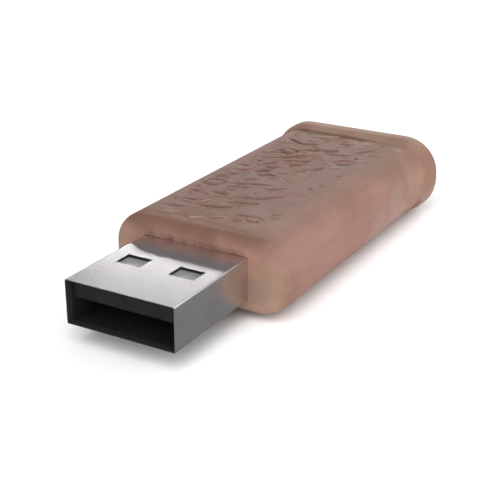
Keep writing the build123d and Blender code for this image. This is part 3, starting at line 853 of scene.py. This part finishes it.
def adhesive_material():
    """Cured amber glue, wavy and a little cloudy."""
    depths = (0.001, 0.0007, 0.0004)
    recipe = Recipe("cured_glue", {"Subsurface Weight": 0.3, "Subsurface Radius": depths})
    clouds, waves = recipe.noise((0.7, 0.7, 0.7)), recipe.noise((1.6, 1.6, 1.6), 2.0)
    milky = recipe.ease(clouds, *NOISE_RANGE)
    recipe.set("Base Color", recipe.mix(milky, rgb(0.78, 0.70, 0.5), rgb(0.66, 0.56, 0.36)))
    recipe.set("Roughness", recipe.ease(waves, *NOISE_RANGE, 0.22, 0.4))
    recipe.set("Normal", recipe.bump(waves, 0.03))
    return recipe.material


def lens_material():
    """The lamp's clear resin, with faint haze."""
    recipe = Recipe("clear_resin", {"Transmission Weight": 0.85, "IOR": 1.5})
    haze = recipe.noise((2.5, 2.5, 2.5))
    recipe.set("Base Color", recipe.mix(haze, rgb(0.82, 0.88, 0.82), rgb(0.7, 0.8, 0.72)))
    recipe.set("Roughness", recipe.ease(haze, *NOISE_RANGE, 0.08, 0.2))
    recipe.set("Normal", recipe.bump(haze, 0.004))
    return recipe.material


# Plain mouldings and ceramics: name, light and dark colour, roughness, size of the grain, depth of the grain
MOULDED = {
    "insulator": ("black_moulding", (0.011, 0.011, 0.012), (0.015, 0.015, 0.016), 0.5, 0.12, 0.004),
    "carrier_plastic": ("carrier_moulding", (0.05, 0.05, 0.055), (0.04, 0.04, 0.044), 0.5, 0.12, 0.004),
    "chip_epoxy": ("chip_epoxy", (0.03, 0.03, 0.032), (0.02, 0.02, 0.022), 0.62, 0.06, 0.006),
    "crystal_ceramic": ("fired_base", (0.27, 0.24, 0.21), (0.22, 0.19, 0.17), 0.7, 0.09, 0.004),
    "ferrite": ("sintered_ferrite", (0.085, 0.085, 0.09), (0.06, 0.06, 0.062), 0.6, 0.08, 0.004),
    "capacitor_ceramic": ("tan_ceramic", (0.48, 0.36, 0.23), (0.4, 0.29, 0.18), 0.5, 0.07, 0.004),
    "resistor_ceramic": ("black_glaze", (0.02, 0.02, 0.02), (0.035, 0.034, 0.033), 0.25, 0.1, 0.004),
    "led_base": ("white_laminate", (0.82, 0.81, 0.77), (0.74, 0.73, 0.68), 0.45, 0.1, 0.004),
}
# Bare metals: name, light and dark colour, roughness, grain to the millimetre along X, Y and Z, its depth
METALS = {
    "gold_plate": ("gold_flash", (0.92, 0.70, 0.32), (0.82, 0.58, 0.24), 0.22, (1.5, 14, 14), 0.002),
    "solder": ("tin_solder", (0.76, 0.77, 0.78), (0.62, 0.63, 0.65), 0.3, (3, 3, 3), 0.01),
    "tinned_leads": ("matte_tin", (0.7, 0.71, 0.72), (0.6, 0.61, 0.62), 0.4, (8, 8, 8), 0.002),
    "crystal_steel": ("nickel_lid", (0.78, 0.76, 0.72), (0.7, 0.68, 0.64), 0.28, (1, 12, 12), 0.002),
}


def slot_materials():
    """Every material slot of the record, with its finish."""
    finishes = {
        "wood": wood_material(),
        "shell_steel": shell_material(),
        "plate_steel": dull_plate_material(),
        "solder_mask": board_material(),
        "led_resin": lens_material(),
        "foam": foam_material(),
        "adhesive": adhesive_material(),
    }
    finishes |= {slot: moulded_material(*values) for slot, values in MOULDED.items()}
    finishes |= {slot: metal_material(*values) for slot, values in METALS.items()}
    return finishes


# Putting the pieces on the frame ----------------------------------------------------------------------------

WELD_DISTANCE = 0.0005
BEVEL_SEGMENTS, BEVEL_ANGLE = 2, 40

# How wide the bevel on a CAD node's edges is
SOFT_EDGES = {
    "plug_shell": 0.035,
    "plug_insulator": 0.03,
    "shield_plate": 0.02,
    "circuit_board": 0.03,
    "crystal_lid": 0.08,
    "crystal_base": 0.05,
    "led_lens": 0.06,
    "foam_pad": 0.15,
    "solder_joints": 0.05,
    "capacitors": 0.05,
    "resistors": 0.04,
    "ferrite_bead": 0.08,
}


def soften_edges(node, width):
    """Rounds a CAD node's edges by modifiers, which leave its mesh as it is."""
    weld = node.modifiers.new("weld", "WELD")
    weld.merge_threshold = WELD_DISTANCE * MM
    bevel = node.modifiers.new("bevel", "BEVEL")
    bevel.width = width * MM
    bevel.segments = BEVEL_SEGMENTS
    bevel.limit_method = "ANGLE"
    bevel.angle_limit = radians(BEVEL_ANGLE)
    bevel.harden_normals = True


def dress_frame(materials):
    """Gives every CAD node its slot's finish, and some of them softer edges."""
    slots = {part["node"]: part["material_slot"] for part in frame["record"]["subparts"]}
    for name, node in frame["nodes"].items():
        node.data.materials.clear()
        node.data.materials.append(materials[slots[name]])
    for name, width in SOFT_EDGES.items():
        soften_edges(frame["nodes"][name], width)


def place_wood(materials):
    """Puts the detailed wooden pieces in place of the two plain CAD ones."""
    for piece, node in ((wooden_body(), "wood_body"), (wooden_cap(), "rear_cap")):
        piece.data.materials.append(materials["wood"])
        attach(piece, "root")
        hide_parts(node)


# The studio -------------------------------------------------------------------------------------------------
# Turns are in degrees from the front towards +X, and rises are above the horizon

AIM = Vector((2.5, -6.5, 4.6))
VIEW_TURN, VIEW_RISE, VIEW_ROLL = 29.96, 22.69, 0.15
VIEW_DISTANCE = 112.0
LENS = 78.7
CLIP_START, CLIP_END = 0.001, 20.0

FLOOR_SIZE = 4000.0
FLOOR_GAP = 0.02
FLOOR_COLOUR = rgb(0.88, 0.88, 0.88)

# Soft boxes: turn, rise, width, height, power
LAMP_DISTANCE = 320.0
SOFT_LAMPS = {
    "key": (95, 22, 220, 220, 0.21),
    "fill": (-12, 12, 240, 160, 0.2),
    "strip": (202, 15.5, 240, 16, 0.265),
}
FLOOR_LAMP_TURN, FLOOR_LAMP_RISE = 16, 48
FLOOR_LAMP_STRENGTH, FLOOR_LAMP_ANGLE = 2.5, 48

# The sky's strength: how nearly something lies towards its glow, and its height, each mapped to a factor
GLOW_TURN, GLOW_RISE = 95, 45
GLOW_RANGE = {"From Min": 0.05, "From Max": 0.85, "To Min": 0.17, "To Max": 0.92}
HORIZON_RANGE = {"From Min": -0.25, "From Max": 0.02, "To Min": 1.1, "To Max": 1.0}


def direction(turn, rise):
    """The unit vector that points at something seen at that turn from the front and that rise."""
    turn, rise = radians(turn), radians(rise)
    return Vector((sin(turn) * cos(rise), -cos(turn) * cos(rise), sin(rise)))


def aimed(name, data, distance, turn, rise, roll=0.0):
    """A camera or lamp at that distance from the drive, facing it."""
    thing = bpy.data.objects.new(name, data)
    thing.location = (AIM + distance * direction(turn, rise)) * MM
    thing.rotation_euler = (AIM * MM - thing.location).to_track_quat("-Z", "Y").to_euler()
    thing.rotation_euler.rotate_axis("Z", radians(roll))
    bpy.context.scene.collection.objects.link(thing)
    return thing


def add_camera():
    """The camera at the photo's viewpoint."""
    data = bpy.data.cameras.new("camera")
    data.lens, data.clip_start, data.clip_end = LENS, CLIP_START, CLIP_END
    bpy.context.scene.camera = aimed("camera", data, VIEW_DISTANCE, VIEW_TURN, VIEW_RISE, VIEW_ROLL)


def add_floor():
    """A wide pale floor just under the drive, in a collection of its own, which is returned."""
    half = FLOOR_SIZE / 2 * MM
    corners = [(-half, -half, 0), (half, -half, 0), (half, half, 0), (-half, half, 0)]
    mesh = bpy.data.meshes.new("floor")
    mesh.from_pydata(corners, [], [(0, 1, 2, 3)])
    recipe = Recipe("pale_floor", {"Base Color": FLOOR_COLOUR, "Roughness": 0.9, "Specular IOR Level": 0.0})
    mesh.materials.append(recipe.material)
    floor = bpy.data.objects.new("floor", mesh)
    floor.location.z = cad_box[0][2] - FLOOR_GAP * MM
    floor.visible_glossy = False
    room = bpy.data.collections.new("room")
    bpy.context.scene.collection.children.link(room)
    room.objects.link(floor)
    return room


def add_soft_lamp(name, turn, rise, width, height, power):
    """A soft box that faces the drive."""
    data = bpy.data.lights.new(name, "AREA")
    data.shape, data.energy = "RECTANGLE", power
    data.size, data.size_y = width * MM, height * MM
    aimed(name, data, LAMP_DISTANCE, turn, rise)


def add_floor_lamp(room):
    """A broad light from above the camera that falls on the floor alone, as a backdrop has its own lamps."""
    data = bpy.data.lights.new("floor_lamp", "SUN")
    data.energy, data.angle = FLOOR_LAMP_STRENGTH, radians(FLOOR_LAMP_ANGLE)
    lamp = aimed("floor_lamp", data, VIEW_DISTANCE, FLOOR_LAMP_TURN, FLOOR_LAMP_RISE)
    lamp.light_linking.receiver_collection = room


def add_sky():
    """A soft surround, brightest above and to the right, and a little brighter below the horizon."""
    world = bpy.data.worlds.new("surround")
    world.use_nodes = True
    tree = world.node_tree
    background = tree.nodes["Background"]

    def mapped(source, numbers):
        node = tree.nodes.new("ShaderNodeMapRange")
        node.interpolation_type = "SMOOTHSTEP"
        for socket, value in numbers.items():
            node.inputs[socket].default_value = value
        tree.links.new(source, node.inputs["Value"])
        return node.outputs[0]

    way = tree.nodes.new("ShaderNodeTexCoord").outputs["Generated"]
    toward = tree.nodes.new("ShaderNodeVectorMath")
    toward.operation = "DOT_PRODUCT"
    toward.inputs[1].default_value = direction(GLOW_TURN, GLOW_RISE)
    height = tree.nodes.new("ShaderNodeSeparateXYZ")
    strength = tree.nodes.new("ShaderNodeMath")
    strength.operation = "MULTIPLY"
    tree.links.new(way, toward.inputs[0])
    tree.links.new(way, height.inputs[0])
    tree.links.new(mapped(toward.outputs["Value"], GLOW_RANGE), strength.inputs[0])
    tree.links.new(mapped(height.outputs["Z"], HORIZON_RANGE), strength.inputs[1])
    tree.links.new(strength.outputs[0], background.inputs["Strength"])
    background.inputs["Color"].default_value = rgb(1.0, 1.0, 1.0)
    bpy.context.scene.world = world


def build_studio():
    """Camera, floor, lamps and sky."""
    bpy.context.scene.view_settings.view_transform = "Standard"
    add_camera()
    add_floor_lamp(add_floor())
    for name, values in SOFT_LAMPS.items():
        add_soft_lamp(name, *values)
    add_sky()


finishes = slot_materials()
dress_frame(finishes)
place_wood(finishes)
build_studio()
